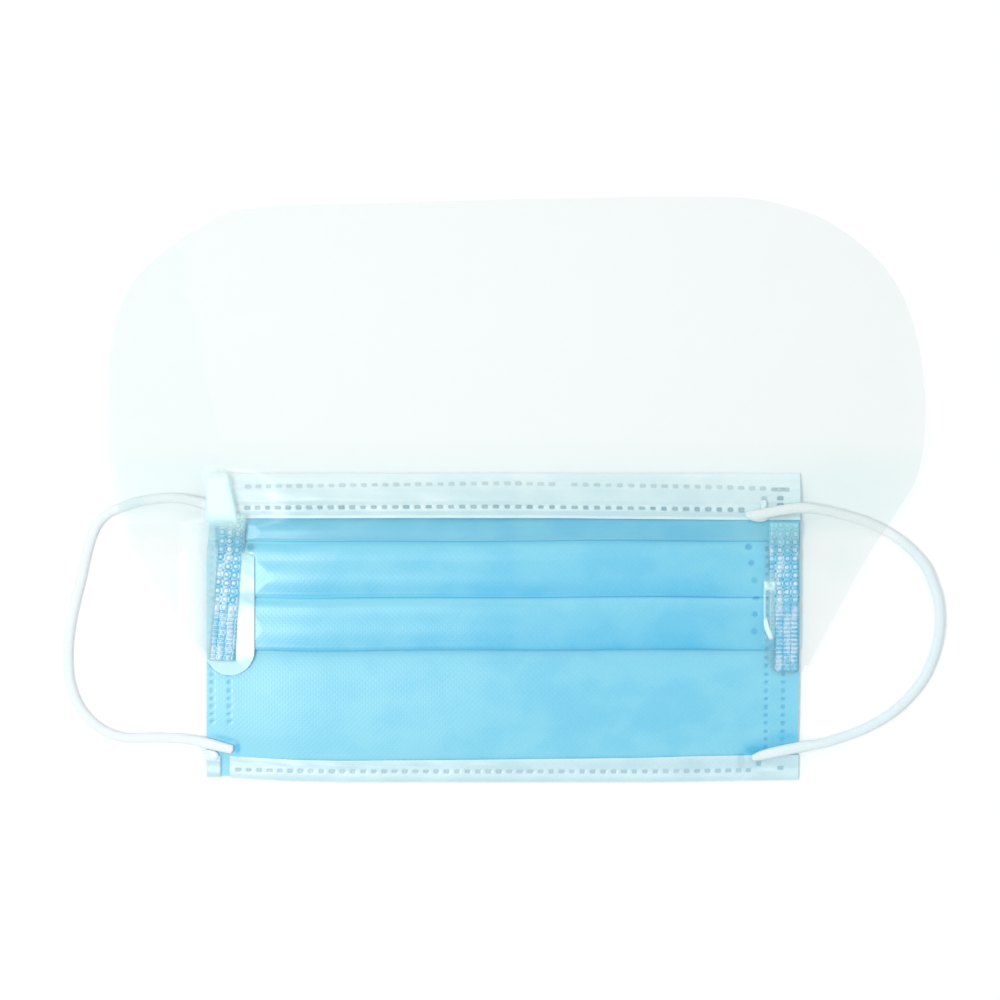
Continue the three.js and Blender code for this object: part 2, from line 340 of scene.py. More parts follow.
def melted_lump(name, centre, half_size, turn):
    bpy.ops.object.select_all(action="DESELECT")
    bpy.ops.mesh.primitive_uv_sphere_add(segments=32, ring_count=18, radius=1.0)
    lump = bpy.context.object
    lump.name = lump.data.name = name
    bpy.ops.object.mode_set(mode="EDIT")
    bpy.ops.mesh.select_all(action="SELECT")
    bpy.ops.transform.vertex_random(offset=0.25, seed=5)
    bpy.ops.mesh.vertices_smooth(factor=0.5, repeat=6)
    grown = [size * MM * SMOOTHING_LOSS for size in half_size]
    bpy.ops.transform.resize(value=grown, center_override=(0, 0, 0))
    bpy.ops.transform.rotate(value=turn, orient_axis="Z", center_override=(0, 0, 0))
    bpy.ops.transform.translate(value=[place * MM for place in centre])
    bpy.ops.object.mode_set(mode="OBJECT")
    bpy.ops.object.shade_smooth()
    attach(lump, "root")
    print(name, "size in mm:", [round(size / MM, 1) for size in lump.dimensions])
    return lump


lumps = [
    melted_lump("lump_lower_left", (-90.0, -78.4, 1.5), (2.5, 1.5, 0.75), 0.1),
    melted_lump("lump_upper_right", (71.3, -7.9, 3.3), (3.3, 1.5, 0.9), 0.15),
    melted_lump("spur_upper_right", (73.4, -4.6, 2.9), (0.85, 1.5, 0.8), 0.1),
]

# %% [markdown]
# ## The pleated cloth
# The mask is one flat rectangle of thin nonwoven, folded three times. It could be modelled as a
# stack of boxes, but a folded sheet shows the soft rise before each fold and the thin dark line
# under it. So the section is drawn first, as a path from the nose edge to the chin edge, and then
# a flat grid is laid along that path, row by row. The UV map keeps each vertex's place on the flat
# cloth, so the embossing follows the cloth into its folds.

# %% Helpers for the section
CLOTH_WALL = 0.6
LOW, MIDDLE, HIGH = 0.4, 1.45, 2.5  # the levels of the three layers in a pleat
FINE, COARSE = 0.45, 1.8  # the rows' spacing where the cloth is seen, and where it is hidden
EDGE_INSET = 1.3  # how far the cloth's nose edge lies inside the fold of its hem
HEM_RISE = 1.1  # how far the cloth rises from there to the hem's end


def run(a, b, spacing, bulge=0.0, steep=None):
    """Points from a to b that ease in height, or rise steeply at first, with a bulge between."""
    count = max(2, round(abs(b[0] - a[0]) / spacing))
    t = np.arange(count) / count
    y = a[0] + (b[0] - a[0]) * t
    share = smoothstep(t) if steep is None else 1 - (1 - t) ** steep
    z = a[1] + (b[1] - a[1]) * share + bulge * np.sin(math.pi * t) ** 1.5
    return np.stack([y, z], axis=1)


def turn(y, low, high, opening, count=6):
    """A half circle between two levels; opening is 1 where it bulges towards +Y."""
    angle = np.linspace(math.pi / 2, -math.pi / 2, count)
    radius = (high - low) / 2
    turn_y = y + opening * radius * np.cos(angle)
    turn_z = (high + low) / 2 + radius * np.sin(angle)
    return np.stack([turn_y, turn_z], axis=1)


def under_hem(y):
    """Under the top hem the cloth rises from its nose edge towards the hem's end."""
    return LOW + HEM_RISE * (MASK_TOP - EDGE_INSET - y) / (MASK_TOP - EDGE_INSET - TOP_HEM_EDGE)


print("levels of the layers in mm:", LOW, MIDDLE, HIGH)

# %% Draw the section of the folds
CHIN_CREST = (-62.0, LOW + 1.0)
CHIN_EDGE = (MASK_BOTTOM + 0.6, LOW)
REACH = (HIGH - MIDDLE) / 2 + CLOTH_WALL / 2  # how far a turn's outside is from its centre
STEEP_RISE = 3.2

sections = []  # each is a run of points, and 1 where the cloth is seen
hem_start = (MASK_TOP - EDGE_INSET, under_hem(MASK_TOP - EDGE_INSET))
hem_end = (TOP_HEM_EDGE, under_hem(TOP_HEM_EDGE))
sections.append((run(hem_start, hem_end, 1.5), 0))
last, steep = hem_end, None
for pleat in PLEATS:
    crest_start = (pleat["edge"] + pleat["depth"] + 0.2, HIGH)
    fold_y = pleat["edge"] + REACH
    back_y = pleat["edge"] + pleat["depth"] - REACH
    sections.append((run(last, crest_start, FINE, steep=steep), 1))
    sections.append((run(crest_start, (fold_y, HIGH), FINE, pleat["crest"]), 1))
    sections.append((turn(fold_y, MIDDLE, HIGH, -1), 1))
    sections.append((run((fold_y, MIDDLE), (back_y, MIDDLE), COARSE), 0))
    sections.append((turn(back_y, LOW, MIDDLE, 1), 0))
    last, steep = (pleat["edge"] + 0.75, LOW), STEEP_RISE
    sections.append((run((back_y, LOW), last, COARSE), 0))
sections.append((run(last, CHIN_CREST, FINE, steep=steep), 1))
sections.append((run(CHIN_CREST, CHIN_EDGE, FINE), 1))
section = np.vstack([points for points, is_seen in sections] + [[CHIN_EDGE]])
seen_rows = np.concatenate([np.full(len(points), is_seen) for points, is_seen in sections] + [[1]])
keep = np.concatenate([[True], np.linalg.norm(np.diff(section, axis=0), axis=1) > 1e-3])
section, seen_rows = section[keep], seen_rows[keep]
cut = np.concatenate([[0], np.cumsum(np.linalg.norm(np.diff(section, axis=0), axis=1))])
print("rows:", len(section), "cut length in mm:", round(float(cut[-1]), 1))

# %% [markdown]
# The columns are close together at both sides, where the welds are, and wider apart in the middle.
# Small welds are pressed into the cloth: each one lowers the vertices round its centre, and is
# written into an attribute too, because a welded spot is denser and darker. The folds also wander
# a little to and fro, and the cloth between them is gently wavy, because no real one is quite even.

# %% Helpers for columns and welds
def columns_between(left, right, fine, coarse, margin):
    """Places across the cloth: fine within the margin of both sides, coarse between them."""
    sides = np.arange(0, margin, fine)
    count = round((right - left - 2 * margin) / coarse) + 1
    centre = np.linspace(left + margin, right - margin, count)
    return np.concatenate([left + sides, centre, (right - sides)[::-1]])


def press(x, y, z, weld, marks, size, depth, allowed, power=4):
    """Presses a small mark at each place: x, y and how deep it shows; a higher power is squarer."""
    uneven = np.random.default_rng(7)
    for mark_x, mark_y, share in marks:
        width, height = size * uneven.uniform(0.88, 1.12, 2)
        share = share * uneven.uniform(0.75, 1.0)
        near = (np.abs(x - mark_x) < width) & (np.abs(y - mark_y) < height) & allowed
        across = np.abs(x[near] - mark_x) / (width / 2)
        along = np.abs(y[near] - mark_y) / (height / 2)
        edge = (across**power + along**power) ** (1 / power)
        dent = 1 - smoothstep((edge - 0.8) / 0.45)
        island = 1 - smoothstep(edge / 0.7)
        z[near] -= depth * share * (dent - 0.3 * island)
        weld[near] = np.maximum(weld[near], share * dent * (1 - 0.3 * island))


print("column and weld helpers ready")

# %% Lay the grid along the section
CLEARANCE = 0.02  # the cloth stays this far above the surface it lies on
WAVE_HEIGHT = 0.16
columns = columns_between(MASK_LEFT, MASK_RIGHT, fine=0.42, coarse=2.6, margin=18.0)
panel, column, row = add_grid("pleated_panel", len(columns), len(section))
x = columns[column]
y, z = section[row, 0].copy(), section[row, 1].copy()
wander = (0.2 * np.sin(x / 31.0 + 0.6) + 0.13 * np.sin(x / 12.0 + y / 17.0)) * middle_part(x)
inside = smoothstep((MASK_TOP - 8 - y) / 10) * smoothstep((y - MASK_BOTTOM - 4) / 10)
y += wander * inside
z *= loft(x)
waves = 1 + np.sin(x / 19.0 + y / 23.0) * np.cos(y / 13.0 - x / 41.0)
z += WAVE_HEIGHT * inside * waves * seen_rows[row]
z = np.clip(z, CLOTH_WALL / 2 + CLEARANCE, 1.8 + 3.0 * middle_part(x))
print("panel vertices:", len(x))

# %% [markdown]
# Two columns of square dots weld each side together, and a few rounder tacks hold the pleats
# beside them. With the dents in, every vertex goes to its place.

# %% Press the side welds
DOT_PITCH = 2.46
DOT_SIZE = np.array([1.35, 1.05])
TACK_SIZE = np.array([2.0, 1.6])
TACKS = [  # x, y, and how deep each one shows
    (68.9, -17.0, 0.8), (69.8, -21.7, 0.8), (70.6, -26.8, 0.5), (71.2, -32.1, 0.7),
    (70.9, -36.8, 0.8), (70.6, -41.8, 0.6), (-78.2, -17.0, 0.9),
]
right_y = np.arange(-17.5, -78.5, -DOT_PITCH)
left_y = np.arange(-17.5, -71.5, -DOT_PITCH)
side_dots = [(dot_x, dot_y, 0.8) for dot_x in (74.5, 79.7) for dot_y in right_y]
side_dots += [(dot_x, dot_y, 0.6) for dot_x in (-89.3, -84.2) for dot_y in left_y]
weld = np.zeros(len(x))
seen = seen_rows[row] > 0
press(x, y, z, weld, side_dots, DOT_SIZE, 0.16, seen)
press(x, y, z, weld, TACKS, TACK_SIZE, 0.2, seen, power=2)
set_places(panel, np.stack([*settle(x, y), z], axis=1))
set_uv(panel, x, cut[row])
set_shade(panel, "weld", weld)
print("side welds:", len(side_dots) + len(TACKS))

# %% [markdown]
# The sheet gets its thickness from a Solidify modifier, with the white inner ply as a second
# material. The normals of a closed shell are turned outwards by one more helper.

# %% Helpers for thickness
def to_outside(obj):
    bpy.ops.object.mode_set(mode="EDIT")
    bpy.ops.mesh.select_all(action="SELECT")
    bpy.ops.mesh.normals_make_consistent(inside=False)
    bpy.ops.object.mode_set(mode="OBJECT")


def thicken(obj, wall, inner_slot=0):
    solid = obj.modifiers.new("wall", "SOLIDIFY")
    solid.thickness = wall * MM
    solid.offset = 0.0
    solid.material_offset = inner_slot
    bpy.ops.object.modifier_apply(modifier=solid.name)
    bpy.ops.object.shade_smooth()
    bpy.ops.object.shade_smooth_by_angle(angle=math.radians(50))


print("thickness helpers ready")

# %% [markdown]
# Toward each fold's edge three layers of cloth lie under the light, and the colour there is also painted
# deeper, as painted shade where the cloth curves away from the light. Right under each fold it is painted
# lighter, and the strip under the top hem is deeper. Painted shadows of the loops lie beside their lower
# welds, with a few more spots. A table over the section gives the first, a list of soft spots the second.

# %% Painted shade of the layers, and painted shadows
SHADES = [  # y on the section, and how much deeper the cloth looks there
    (5.0, 0.25), (-8.0, 0.3), (-15.0, 0.45), (-15.3, 0.35), (-15.7, -0.2), (-19.0, 0.1),
    (-23.2, 0.2), (-27.9, 0.45), (-30.3, 0.65), (-31.6, 0.6), (-31.9, 0.3), (-32.3, -0.25),
    (-36.0, 0.15), (-44.5, 0.45), (-46.9, 0.7), (-47.3, 0.7), (-47.5, 0.45), (-48.0, -0.25),
    (-51.0, 0.0), (-60.0, 0.08), (-70.0, 0.04), (-76.5, -0.06), (-80.0, -0.1),
]
PAINTED_SHADOWS_AND_SPOTS = [  # each spot's place, its spread, and how much deeper its colour is painted
    # painted shadow beside the lower weld of the right loop
    ((74.0, -75.6), (7.0, 2.0), 0.65), ((81.0, -73.4), (5.0, 1.6), 0.75),
    ((70.6, -77.4), (2.8, 1.3), 1.1), ((66.9, -80.3), (0.8, 1.7), 1.9),
    # painted shade in the gap of the bottom hem, and painted shadow beside the lower weld of the left
    # loop
    ((-86.6, -83.0), (0.7, 4.0), 0.8), ((-84.9, -84.2), (0.8, 3.6), 0.45),
    ((-81.9, -77.4), (0.8, 1.6), 2.4), ((-88.4, -73.7), (1.6, 0.6), 0.5),
    ((-86.2, -74.2), (1.6, 0.6), 0.8), ((-83.8, -74.9), (1.6, 0.6), 0.9),
    # painted shadow beside the corner's crease, and darker at the left end of the top hem
    ((-84.2, 2.0), (0.7, 2.6), 0.7), ((-83.2, -2.4), (0.7, 2.6), 0.7),
    ((-68.0, -6.0), (14.0, 5.0), 0.34),
    # darker and lighter spots at the right end of the bottom hem
    ((74.2, -84.2), (3.0, 0.7), 0.35), ((75.5, -82.9), (3.4, 1.0), -0.5),
    ((72.0, -80.4), (2.0, 0.8), 0.4),
]


def swell(x, y, centre, spread):
    """A soft spot: 1 at its centre, and fading out over its spread each way."""
    return np.exp(-((x - centre[0]) / spread[0]) ** 2 - ((y - centre[1]) / spread[1]) ** 2)


def painted_shadows_and_spots(x, y):
    return sum(share * swell(x, y, centre, spread) for centre, spread, share in PAINTED_SHADOWS_AND_SPOTS)


shade_y, shade = np.array(SHADES).T
layers_and_painted_shade = np.interp(-section[:, 0], -shade_y, shade) * (seen_rows > 0)
depth = layers_and_painted_shade[row] * (0.5 + 0.5 * middle_part(x))
# one number holds the layers, the painted shade, the painted shadows and the painted fall-off of light
set_shade(panel, "layers_and_painted_shade", depth + (painted_shadows_and_spots(x, y) + painted_light_falloff(x)) * seen)
print("soft wrinkles:", len(PAINTED_SHADOWS_AND_SPOTS))

# %% [markdown]
# Right under each fold's edge the cloth is a single thin layer, and a bright line of painted light is
# laid on it there, against the fold's shadow. A second number on each vertex says how bright, most on the
# left.

# %% Painted light under the folds, and the wall
PAINTED_GLOW_PLACES = [-66, -45, 20, 50, 84]
PAINTED_GLOW_SHARES = [0.75, 0.5, 0.5, 0.3, 0.25]
GLOW_BELOW, GLOW_ABOVE, GLOW_SOFT = 0.5, 0.35, 0.4  # its reach round a fold's edge


def painted_glow_under_folds(y):
    """How much painted light lies right under the edge of each fold."""
    total = 0
    for pleat in PLEATS:
        low, high = pleat["edge"] - GLOW_BELOW, pleat["edge"] + GLOW_ABOVE
        total = total + pleat["painted_glow"] * window(y, low, high, GLOW_SOFT)
    return total


painted_glow = painted_glow_under_folds(section[row, 0]) * seen * np.interp(x, PAINTED_GLOW_PLACES, PAINTED_GLOW_SHARES)
set_shade(panel, "painted_glow", painted_glow)
for slot in ("outer ply", "inner ply"):
    panel.data.materials.append(bpy.data.materials.new(slot))
thicken(panel, CLOTH_WALL, inner_slot=1)
print("panel faces:", len(panel.data.polygons))

# %% [markdown]
# ## The hems
# At the nose edge and the chin edge the white inner ply is folded over to the front and welded
# down with rows of small hollow marks. Both hems are folded sheets like the panel, on a closer
# grid, so that each mark is a real dent. One function folds either of them along its own path.

# %% Fold a hem
HEM_WALL = 0.5
HEM_OVER = 1.2  # how far a hem's front lies above the cloth under it
HEM_STEP_ALONG, HEM_STEP_ACROSS = 0.24, 0.25
FRONT_FROM = 0.9  # above this height the folded cloth faces the front
MARK_SIZE = np.array([1.85, 1.15])


def hem_sheet(name, path, left, right, marks, depth, shades, shift, ground):
    """Folds a hem along its path, and presses the marks to the depth. Shades and shift are tables over
    its width and its length. Ground is its shade all over, and how strongly the painted fall-off of light
    shows on it. The cloth's painted shadows and spots are added too."""
    points = smooth_route(path, HEM_STEP_ALONG)
    columns = np.linspace(left, right, round((right - left) / HEM_STEP_ACROSS) + 1)
    hem, column, row = add_grid(name, len(columns), len(points))
    x = columns[column]
    y, z = points[row, 0].copy(), points[row, 1].copy()
    front = z > FRONT_FROM
    z *= loft(x)
    z += (0.05 * np.sin(x / 1.9) * np.sin(x / 23.0 + y) + 0.05 * np.sin(x / 7.0 + 1.3 * y)) * front
    weld = np.zeros(len(x))
    press(x, y, z, weld, marks, MARK_SIZE, depth, front)
    layers_and_painted_shade = (np.interp(y, *shades) + ground[0] + ground[1] * painted_light_falloff(x) + painted_shadows_and_spots(x, y)) * front
    from_edge = np.abs(y - points[0, 0])
    y += np.interp(x, *shift) * smoothstep((3.2 - from_edge) / 2.4)
    set_places(hem, np.stack([*settle(x, y), z], axis=1))
    cut = np.concatenate([[0], np.cumsum(np.linalg.norm(np.diff(points, axis=0), axis=1))])
    set_uv(hem, x, cut[row])
    set_shade(hem, "weld", weld)
    set_shade(hem, "layers_and_painted_shade", layers_and_painted_shade)
    hem.data.materials.append(bpy.data.materials.new(name + " finish"))
    thicken(hem, HEM_WALL)
    print(name, "faces:", len(hem.data.polygons), "marks:", len(marks))
    return hem


print("size of a mark in mm:", MARK_SIZE)

# %% [markdown]
# The top hem is wide, because the nose wire lies in it and lifts it into a low ridge. A row of
# marks runs along each side of the wire. Neither row is straight, and one mark of the upper row
# is missing, as on the real mask.

# %% Marks of the top hem
ROW_PLACES = [-80, -64, -4, 60, 74]
UPPER_ROW = [0.8, 1.0, 1.8, 0.6, 0.2]
LOWER_ROW = [-5.4, -5.3, -5.0, -5.8, -6.1]
MISSING_MARK = 29


def on_row(x, heights):
    return np.interp(x, ROW_PLACES, heights)


upper_x = np.interp(range(48), [0, 15, 30, 36, 47], [-79.5, -31.8, 17.5, 37.7, 73.2])
lower_x = np.interp(range(46), [0, 15, 36, 46], [-79.7, -32.0, 37.5, 70.1])
top_marks = [(x, on_row(x, UPPER_ROW), 0.5) for k, x in enumerate(upper_x) if k != MISSING_MARK]
top_marks += [(x, -0.05, 0.7) for x in (76.6, 77.9, 79.1, 80.2)]
top_marks += [(x, on_row(x, LOWER_ROW), 1.0) for x in lower_x]
top_marks += [(73.5, -2.6, 0.6), (78.3, -2.6, 0.9), (78.3, -4.5, 0.9)]
print("marks of the top hem:", len(top_marks))

# %% The top hem
WIRE_LIFT = 0.65  # how far the nose wire lifts the hem
OVER_CLOTH = [  # y, and how far the hem's front lies above the cloth there
    (TOP_HEM_EDGE, 0.78), (-7.5, 0.9), (-6.2, HEM_OVER - 0.1), (-4.6, HEM_OVER + 0.05),
    (-3.4, HEM_OVER + WIRE_LIFT), (-1.6, HEM_OVER + WIRE_LIFT + 0.08), (0.2, HEM_OVER + WIRE_LIFT),
    (1.5, HEM_OVER + 0.1), (3.4, HEM_OVER - 0.1),
]
OVER_THE_EDGE = [(4.4, 1.05), (4.7, 0.3)]
top_path = [(y, under_hem(y) + above) for y, above in OVER_CLOTH] + OVER_THE_EDGE
top_shades = ([-8.7, -7.9, -7.5, -6.6, -6.1, -4.0, -3.3, -0.4, 0.4, 2.6, 4.2],
              [0.0, 0.0, 0.9, 0.85, 0.2, 0.1, 0.3, 0.3, 0.1, 0.05, -0.2])
top_shift = ([-91, -60, -15, 15, 60, 85], [0.0, 0.05, 0.15, 0.05, -0.4, -0.45])
top_hem = hem_sheet("top_hem", top_path, MASK_LEFT, MASK_RIGHT, top_marks, depth=0.12,
                    shades=top_shades, shift=top_shift, ground=(0.04, 1.1))

# %% [markdown]
# The bottom hem is narrow, with one row of marks that follows the bow of the lower edge. It is cut
# through near its left end, where the blue cloth shows, so it is made of two sheets.

# %% The bottom hem
CUT_LEFT, CUT_RIGHT = -86.9, -84.2
BOTTOM_ROW_PLACES = [-84, -75, -66, -50, 40, 66]
BOTTOM_ROW = [-84.1, -83.7, -83.4, -83.2, -83.2, -83.3]
bottom_path = [
    (BOTTOM_HEM_EDGE, LOW + HEM_OVER - 0.25),
    (-81.2, LOW + HEM_OVER),
    (-84.6, LOW + HEM_OVER - 0.1),
    (-85.9, 1.0),
    (-86.3, 0.3),
]
bottom_marks = [(x, np.interp(x, BOTTOM_ROW_PLACES, BOTTOM_ROW), 0.8)
                for x in np.linspace(-81.6, 69.2, 50)]
bottom_marks += [(72.4, -81.5, 1.0), (79.0, -82.7, 0.9)]
bottom_shades = ([-86.4, -85.2, -84.6, -83.2, -82.4, -81.0, -79.6, -79.0],
                 [0.15, 0.2, 0.0, 0.1, 0.45, 0.45, 0.2, 0.0])
bottom_shift = ([-91, -84, -66, -52, -35, -5, 37, 55],
                [-0.9, -0.9, -0.85, -0.9, -0.75, -0.5, 0.0, 0.3])
bottom_hem = hem_sheet("bottom_hem", bottom_path, CUT_RIGHT, MASK_RIGHT, bottom_marks, depth=0.12,
                       shades=bottom_shades, shift=bottom_shift, ground=(0.16, 0.6))
hem_stub = hem_sheet("bottom_hem_stub", bottom_path, MASK_LEFT, CUT_LEFT, [], depth=0.1,
                     shades=bottom_shades, shift=bottom_shift, ground=(0.45, 0.0))

# %% [markdown]
# The panel and its hems are one sheet of cloth that lies folded. Its flat size is the mask's width
# and the length of the section's path.

CLOTH_PIECES = [
    (panel, "mask_body", "pleated_cloth"),
    (top_hem, "top_binding", "white_hem"),
    (bottom_hem, "bottom_binding", "white_hem"),
    (hem_stub, "bottom_binding", "white_hem"),
]
for piece, node, slot in CLOTH_PIECES:
    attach(piece, "root")
    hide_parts(node)

# %% [markdown]
# ## The visor film
# The visor is a flat cut-out of clear film, bent only a little where it leaves the mask and comes
# down to the surface. It starts as a filled circle whose vertices are moved onto the outline. A
# single big face can't bend, so bisect cuts it along straight lines in both directions, and then
# each vertex takes the height of the drape.

# %% Outline of the film
LEG_RADIUS, LEG_LEFT, LEG_RIGHT, LEG_END = 7.2, -84.0, 80.5, -47.6
NOTCH_EDGE, NOTCH_CORNER = -15.2, 2.4
LEFT_WING = [(-104.9, -31.2), (-113.8, -14.9), (-118.6, 2.8), (-120.9, 22.0), (-119.1, 45.7),
             (-113.8, 59.9), (-104.9, 69.4), (-91.6, 78.4), (-78.3, 83.2)]
TOP_EDGE = [(-34.0, 84.9), (10.3, 86.1), (46.0, 86.6), (68.0, 86.2)]
RIGHT_WING = [(81.3, 83.6), (93.1, 78.9), (104.9, 70.2), (113.4, 59.6), (118.8, 44.2), (120.9, 24.0),
              (118.6, 5.0), (112.0, -7.0), (104.9, -17.9), (96.6, -33.0)]


def arc(centre, radius, start, end, count):
    """Points on a part of a circle, from one angle in degrees to the other."""
    angle = np.radians(np.linspace(start, end, count))
    return np.stack([centre[0] + radius * np.cos(angle), centre[1] + radius * np.sin(angle)], axis=1)


left_inner, right_inner = LEG_LEFT + LEG_RADIUS, LEG_RIGHT - LEG_RADIUS
left_end = arc((LEG_LEFT, LEG_END), LEG_RADIUS, 0, -145, 14)
right_end = arc((LEG_RIGHT, LEG_END), LEG_RADIUS, -35, -180, 14)
wing_curve = smooth_route([left_end[-1], *LEFT_WING, *TOP_EDGE, *RIGHT_WING, right_end[0]], 2.2)
film_outline = np.vstack([
    arc((left_inner + NOTCH_CORNER, NOTCH_EDGE - NOTCH_CORNER), NOTCH_CORNER, 90, 180, 6),
    left_end,
    wing_curve[1:-1],
    right_end,
    arc((right_inner - NOTCH_CORNER, NOTCH_EDGE - NOTCH_CORNER), NOTCH_CORNER, 0, 90, 6),
])
print("outline points:", len(film_outline), "width in mm:", round(float(np.ptp(film_outline[:, 0])), 1))

# %% [markdown]
# The film rests on the mask with its legs, comes down past the nose edge, and lies on the surface
# beyond. A height for each Y says so. Small reliefs are added to it: the legs' free margins curl
# up from their welds, two nicks buckle in the right leg's inner edge, and the right wing waves.

# %% Drape and curls of the film
FILM_WALL = 0.25
DRAPE_Y = [-60.0, -20.0, -9.5, 6.0, 64.0, 92.0]
DRAPE_Z = [2.65, 2.65, 5.2, 5.2, 0.1, 0.1]


def drape(y):
    """How high the film's underside lies, easing between the heights of the table."""
    row = np.clip(np.searchsorted(DRAPE_Y, y) - 1, 0, len(DRAPE_Y) - 2)
    low_y, high_y = np.array(DRAPE_Y)[row], np.array(DRAPE_Y)[row + 1]
    low_z, high_z = np.array(DRAPE_Z)[row], np.array(DRAPE_Z)[row + 1]
    return low_z + (high_z - low_z) * smoothstep((y - low_y) / (high_y - low_y))


def facet(x, y, across, along, slope, drop):
    """A flat patch that rises to the right over its width, and drops back after it."""
    rise = slope * np.clip(x - across[0], 0, across[1] - across[0])
    return rise * (1 - smoothstep((x - across[1]) / drop)) * window(y, *along, 1.2)


def film_relief(x, y):
    margin = facet(x, y, (-81.4, -76.8), (-56.0, -19.5), 0.06, 2.0)
    pressed = window(x, -90.5, -79.0, 1.5) + window(x, 75.5, 84.5, 1.5)
    nicks = facet(x, y, (73.3, 76.6), (-29.6, -27.6), 0.12, 0.9)
    nicks += facet(x, y, (73.3, 75.2), (-43.0, -39.4), 0.12, 0.9)
    buckle = swell(x, y, (96.0, -20.0), (7.0, 9.0)) - 0.6 * swell(x, y, (103.0, -4.0), (10.0, 9.0))
    return margin + nicks + 0.5 * buckle - 0.3 * pressed * smoothstep((-17 - y) / 4)


print("film over the surface in mm:", min(DRAPE_Z), "to", max(DRAPE_Z))

# %% [markdown]
# The film is painted white in three places. At the crumpled upper left corner, and beside the left weld
# field, on the left leg's tip and along its left margin, this white is painted glare of the lamps on the
# bent film. In two small nicks on the right the film is painted white as well. One function for each
# place gives a share from 0 to 1, and the largest counts.

# %% Where the film is painted white
STRIP_Y = [-56, -51, -48, -44, -40, -35, -33.4, -30.6, -29, -26, -22.5, -19]
STRIP_PAINTED_GLARE = [0.38, 0.38, 0.8, 0.85, 0.85, 0.6, 0.36, 0.36, 0.6, 0.5, 0.42, 0.34]


def crease_x(y):
    """The slanting crease that ends the crumpled corner."""
    return -85.6 + (4.0 - y) * 0.228


# Painted glare on the crumpled corner, ending at the corner's crease.
def corner_painted_glare(x, y):
    painted_glare_and_white = 0.5 * smoothstep((x + 91.8) / 2.2) * smoothstep((crease_x(y) - x) / 1.6 + 1.0)
    painted_glare_and_white += 0.1 * np.exp(-(((x - crease_x(y)) / 9.0) ** 2)) * (x > crease_x(y))
    return painted_glare_and_white * window(y, -7.5, 2.0, 5.0)


def left_leg_painted_glare(x, y):
    """Painted glare: a broken white strip beside the weld field, the leg's tip, and its left margin."""
    strip = np.interp(y, STRIP_Y, STRIP_PAINTED_GLARE)
    strip += 0.06 * np.sin(y / 0.9 + x) * np.sin(y / 2.7 + 2.0)
    strip *= window(x, -80.4 + 0.045 * (y + 19.0), -70.0, 0.8)
    strip *= window(y, -58.0, -18.9 - 0.4 * (x + 80.4), 0.9)
    tip = 0.38 * window(x, -95.0, -70.0, 1.0) * window(y, -58.0, -51.0, 1.0)
    margin = 0.15 * window(x, -95.0, -88.8, 1.4) * window(y, -50.0, -12.0, 3.0)
    return np.maximum.reduce([strip, tip, margin])


def right_leg_painted_white(x, y):
    """Painted white: two nicks in the leg's inner edge, the edge between them, and a faint cloud beside
    it.
    """
    upper_nick = (0.38 + 0.14 * np.sin(1.9 * x + y) * np.sin(1.4 * y)) * window(x, 73.9, 76.2, 1.0)
    upper_nick *= window(y, -29.3, -27.6, 1.2)
    free_edge = 0.3 * window(x, 73.0, 73.7, 0.35) * window(y, -38.0, -29.0, 1.5)
    bow = 73.3 + 1.7 * np.clip((-38.4 - y) / 5.1, 0, 1) ** 1.5
    lower_nick = 0.5 * window(x, bow, bow + 0.9, 0.5) * window(y, -43.5, -38.4, 0.8)
    cloud = 0.05 * window(x, 73.2, 76.0, 0.6) * window(y, -44.0, -30.0, 2.0)
    return np.maximum.reduce([upper_nick, free_edge, lower_nick, cloud])


print("whitest film on the left leg:", max(STRIP_PAINTED_GLARE))

# %% [markdown]
# Where the painted white is thin it lets the cloth through and is painted cool, and where it is thick it
# is plain white. A second number says how cool it looks; along the corner's crease it is painted cooler,
# as the crease's painted shadow. A third one is painted shade in the clear film's tint, where the film
# comes down from the mask and on its right wing.

# %% Coolness and painted shade of the film
def film_coolness(x, y, painted_glare_and_white):
    thin = smoothstep((painted_glare_and_white - 0.02) / 0.28) * (1 - smoothstep((painted_glare_and_white - 0.36) / 0.42))
    at_corner = smoothstep((crease_x(y) + 1.5 - x) / 1.0) * smoothstep((y + 9.0) / 3.0)
    # painted shadow along the corner's crease
    crease_shadow = np.exp(-(((x - crease_x(y) - 0.4) / 0.9) ** 2)) * window(y, -8.0, 1.5, 1.5)
    return thin * (1 - at_corner) + at_corner * 0.45 + 0.3 * crease_shadow


# Painted shade in the film's tint: where the film comes down past the mask's top edge and lifts off the
# table, and on its right wing.
def film_painted_shade(x, y):
    painted_film_shade = 0.4 * swell(x, y, (98.0, -1.0), (16.0, 10.0))
    painted_film_shade += 0.5 * swell(x, y, (96.0, -21.0), (6.0, 6.0))
    return painted_film_shade + 0.55 * smoothstep((15.0 - y) / 9.0) * window(y, -11.0, 30.0, 4.0)


print("coolness of thin frost:", round(float(film_coolness(0.0, 40.0, 0.3)), 2))

# %% [markdown]
# The outline's points run clockwise. So the circle's vertices are numbered clockwise too, by their
# angle, and each one moves to the point of its number. Then the single face is cut: closely where
# the film has relief or has gone white, and widely elsewhere.

# %% Cut the film
across_cuts = np.concatenate([np.arange(-116, -94, 4.0), np.arange(-93, -74, 0.5),
                              np.arange(-72, 72, 8.0), np.arange(73.4, 78, 0.4),
                              np.arange(78, 87, 1.0), np.arange(88, 118, 2.5)])
along_cuts = np.concatenate([np.arange(-54, -16, 0.8), np.arange(-15, 8, 1.1),
                             np.arange(10, 84, 2.6)])
cut_planes = [((place, 0, 0), (1, 0, 0)) for place in across_cuts]
cut_planes += [((0, place, 0), (0, 1, 0)) for place in along_cuts]

